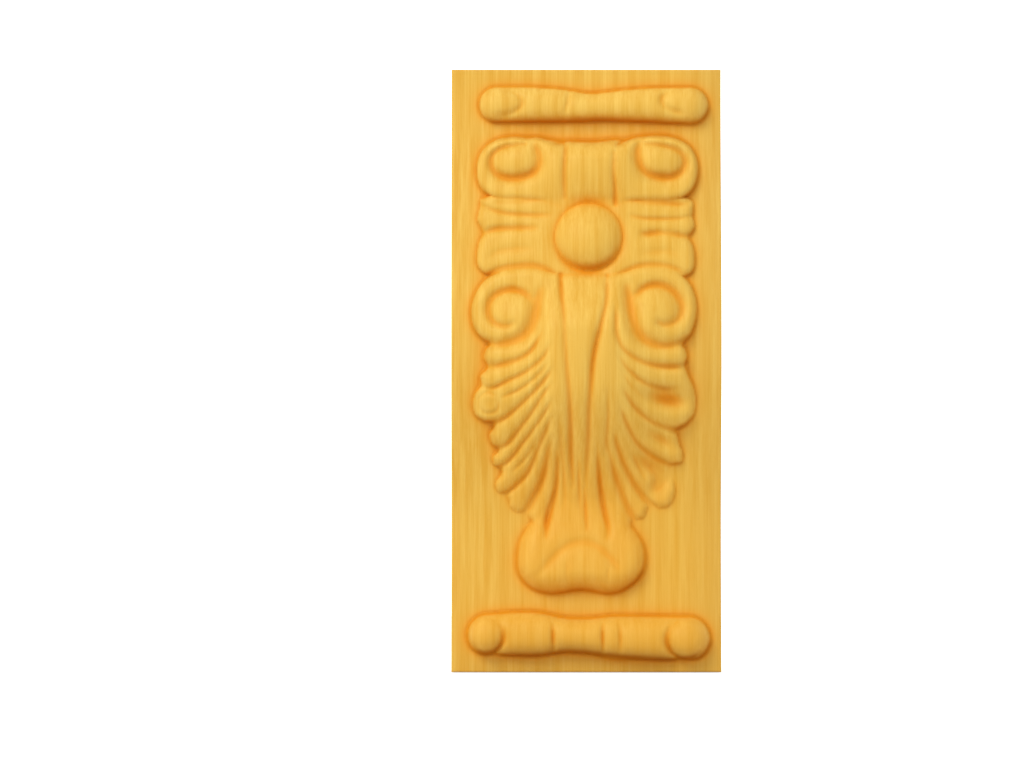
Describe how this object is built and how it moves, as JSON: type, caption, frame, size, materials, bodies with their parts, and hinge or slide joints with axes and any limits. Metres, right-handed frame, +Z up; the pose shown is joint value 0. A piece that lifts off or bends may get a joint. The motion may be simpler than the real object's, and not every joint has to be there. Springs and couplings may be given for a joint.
{
  "type": "wooden capital",
  "caption": "Carved wooden pilaster capital: a swelling block with a flat back, a leaf, scrolls and a ball in relief, and a rod across the top and the foot.",
  "frame": {"origin": "middle of the box around the capital, at the level of its underside", "axes": "+Z up along the height, +Y out of the flat back towards the wall, so the carved front faces -Y, and +X to the right as seen from the front"},
  "size_m": [0.085, 0.045, 0.19],
  "materials": {
    "beech": "sanded and waxed, satin, with straight grain along the height"
  },
  "bodies": {
    "root": {"carved_capital": "beech"}
  },
  "joints": []
}
